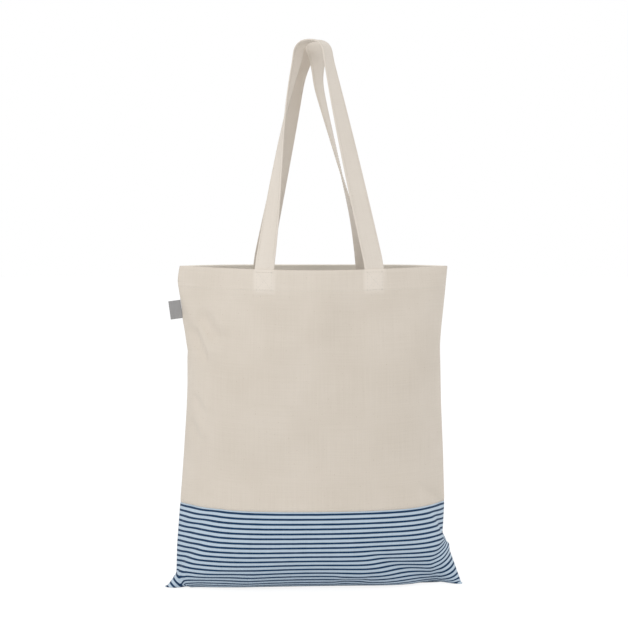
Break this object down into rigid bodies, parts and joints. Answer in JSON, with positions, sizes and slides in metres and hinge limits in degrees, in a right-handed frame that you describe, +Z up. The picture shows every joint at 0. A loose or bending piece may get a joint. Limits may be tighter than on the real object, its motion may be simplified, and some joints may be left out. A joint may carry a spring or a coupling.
{
  "type": "tote bag",
  "caption": "Canvas tote bag, filled out and standing, with an open mouth, twin carrying straps that swing from the hem, a striped base with pinched corners and a small side label.",
  "frame": {"origin": "under the middle of the bag, on the surface that it stands on", "axes": "+Z up from the base to the handles, +X to the right along the mouth as the front is seen, the front facing -Y"},
  "size_m": [0.368, 0.1596, 0.6755],
  "materials": {
    "calico": "undyed plain-weave cotton canvas",
    "strap": "folded undyed cotton canvas",
    "striped_cotton": "light blue cotton with fine navy stripes",
    "label": "woven grey satin label, unprinted",
    "thread": "undyed sewing thread"
  },
  "bodies": {
    "bag": {"front_panel": "calico", "back_panel": "calico", "striped_base": "striped_cotton", "left_side_seam": "calico", "right_side_seam": "calico", "front_hem_stitching": "thread", "back_hem_stitching": "thread", "front_base_stitching": "thread", "back_base_stitching": "thread", "front_handle_left_end": "strap", "front_handle_right_end": "strap", "front_handle_left_tack": "thread", "front_handle_right_tack": "thread", "back_handle_left_end": "strap", "back_handle_right_end": "strap", "back_handle_left_tack": "thread", "back_handle_right_tack": "thread"},
    "front_strap": {"front_handle": "strap", "front_handle_stitching": "thread"},
    "back_strap": {"back_handle": "strap", "back_handle_stitching": "thread"},
    "label": {"side_label": "label"}
  },
  "joints": [
    {"name": "front_handle_swing", "type": "hinge", "parent": "bag", "child": "front_strap", "pos_m": [0.006, -0.0609, 0.3955], "axis": [1, 0, 0], "range_deg": [0, 165]},
    {"name": "back_handle_swing", "type": "hinge", "parent": "bag", "child": "back_strap", "pos_m": [-0.001, 0.0603, 0.3955], "axis": [-1, 0, 0], "range_deg": [0, 165]},
    {"name": "label_flap", "type": "hinge", "parent": "bag", "child": "label", "pos_m": [-0.1647, 0, 0.339], "axis": [-0.1309, 0, 0.9914], "range_deg": [-80, 80]}
  ]
}
